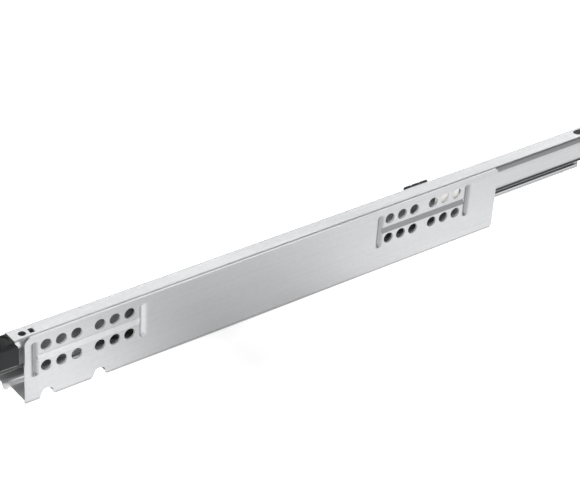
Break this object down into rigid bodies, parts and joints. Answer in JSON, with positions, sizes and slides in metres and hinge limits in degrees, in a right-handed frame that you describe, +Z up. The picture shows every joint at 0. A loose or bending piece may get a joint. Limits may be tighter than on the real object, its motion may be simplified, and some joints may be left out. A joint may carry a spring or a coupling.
{
  "type": "undermount drawer slide",
  "caption": "Concealed full-extension undermount drawer runner in galvanised steel, with ball cages, perforated screw flange, plastic front cap and a soft-close unit on the inner side.",
  "frame": {"origin": "centre of the underside of the closed runner's bounding box", "axes": "+Z up, -X to the front of the cabinet (the drawer opens towards -X), -Y towards the cabinet side wall that the runner is screwed to"},
  "size_m": [0.4264, 0.0432, 0.0404],
  "materials": {
    "zinc_steel": "bright galvanised strip steel, fine rolling grain along the length",
    "dark_zinc": "zinc-plated, slightly duller than the profiles",
    "ball_steel": "polished hardened steel",
    "spring_steel": "drawn spring wire",
    "black_plastic": "black moulded plastic, fine eroded texture",
    "grey_plastic": "dark grey moulded plastic",
    "natural_plastic": "natural acetal, smooth",
    "black_rubber": "soft black rubber"
  },
  "bodies": {
    "cabinet_side": {"cabinet_bracket": "zinc_steel", "cabinet_rail": "zinc_steel", "rail_rivet_1": "dark_zinc", "rail_rivet_2": "dark_zinc", "rail_rivet_3": "dark_zinc", "rail_rivet_4": "dark_zinc", "rear_locating_stud": "dark_zinc", "rail_end_buffer": "black_rubber", "side_guide_pad": "natural_plastic", "soft_close_housing": "black_plastic", "housing_rivet_1": "dark_zinc", "housing_rivet_2": "dark_zinc", "damper_cylinder": "grey_plastic", "return_spring": "spring_steel"},
    "middle": {"middle_member": "zinc_steel", "middle_end_stop": "grey_plastic"},
    "drawer_side": {"drawer_member": "zinc_steel", "front_cap": "black_plastic", "activator": "black_plastic", "activator_rivet": "dark_zinc", "rear_hook": "dark_zinc"},
    "lower_cage": {"lower_ball_cage": "dark_zinc", "lower_ball_near_1": "ball_steel", "lower_ball_far_1": "ball_steel", "lower_ball_near_2": "ball_steel", "lower_ball_far_2": "ball_steel", "lower_ball_near_3": "ball_steel", "lower_ball_far_3": "ball_steel", "lower_ball_near_4": "ball_steel", "lower_ball_far_4": "ball_steel"},
    "upper_cage": {"upper_ball_cage": "dark_zinc", "upper_ball_near_1": "ball_steel", "upper_ball_far_1": "ball_steel", "upper_ball_near_2": "ball_steel", "upper_ball_far_2": "ball_steel", "upper_ball_near_3": "ball_steel", "upper_ball_far_3": "ball_steel", "upper_ball_near_4": "ball_steel", "upper_ball_far_4": "ball_steel"},
    "catch": {"catch_slider": "grey_plastic", "damper_rod": "ball_steel"}
  },
  "joints": [
    {"name": "middle_slide", "type": "slide", "parent": "cabinet_side", "child": "middle", "axis": [-1, 0, 0], "range_m": [0, 0.2]},
    {"name": "drawer_slide", "type": "slide", "parent": "middle", "child": "drawer_side", "axis": [-1, 0, 0], "range_m": [0, 0.2]},
    {"name": "lower_cage_slide", "type": "slide", "parent": "cabinet_side", "child": "lower_cage", "axis": [-1, 0, 0], "range_m": [0, 0.1]},
    {"name": "upper_cage_slide", "type": "slide", "parent": "middle", "child": "upper_cage", "axis": [-1, 0, 0], "range_m": [0, 0.1]},
    {"name": "catch_slide", "type": "slide", "parent": "cabinet_side", "child": "catch", "axis": [-1, 0, 0], "range_m": [0, 0.045], "stiffness_N_per_m": 90, "springref_m": -0.03, "deforming": ["return_spring"]}
  ],
  "couplings": [
    {"joint": "lower_cage_slide", "follows": "middle_slide", "ratio": 0.5},
    {"joint": "upper_cage_slide", "follows": "drawer_slide", "ratio": 0.5}
  ]
}
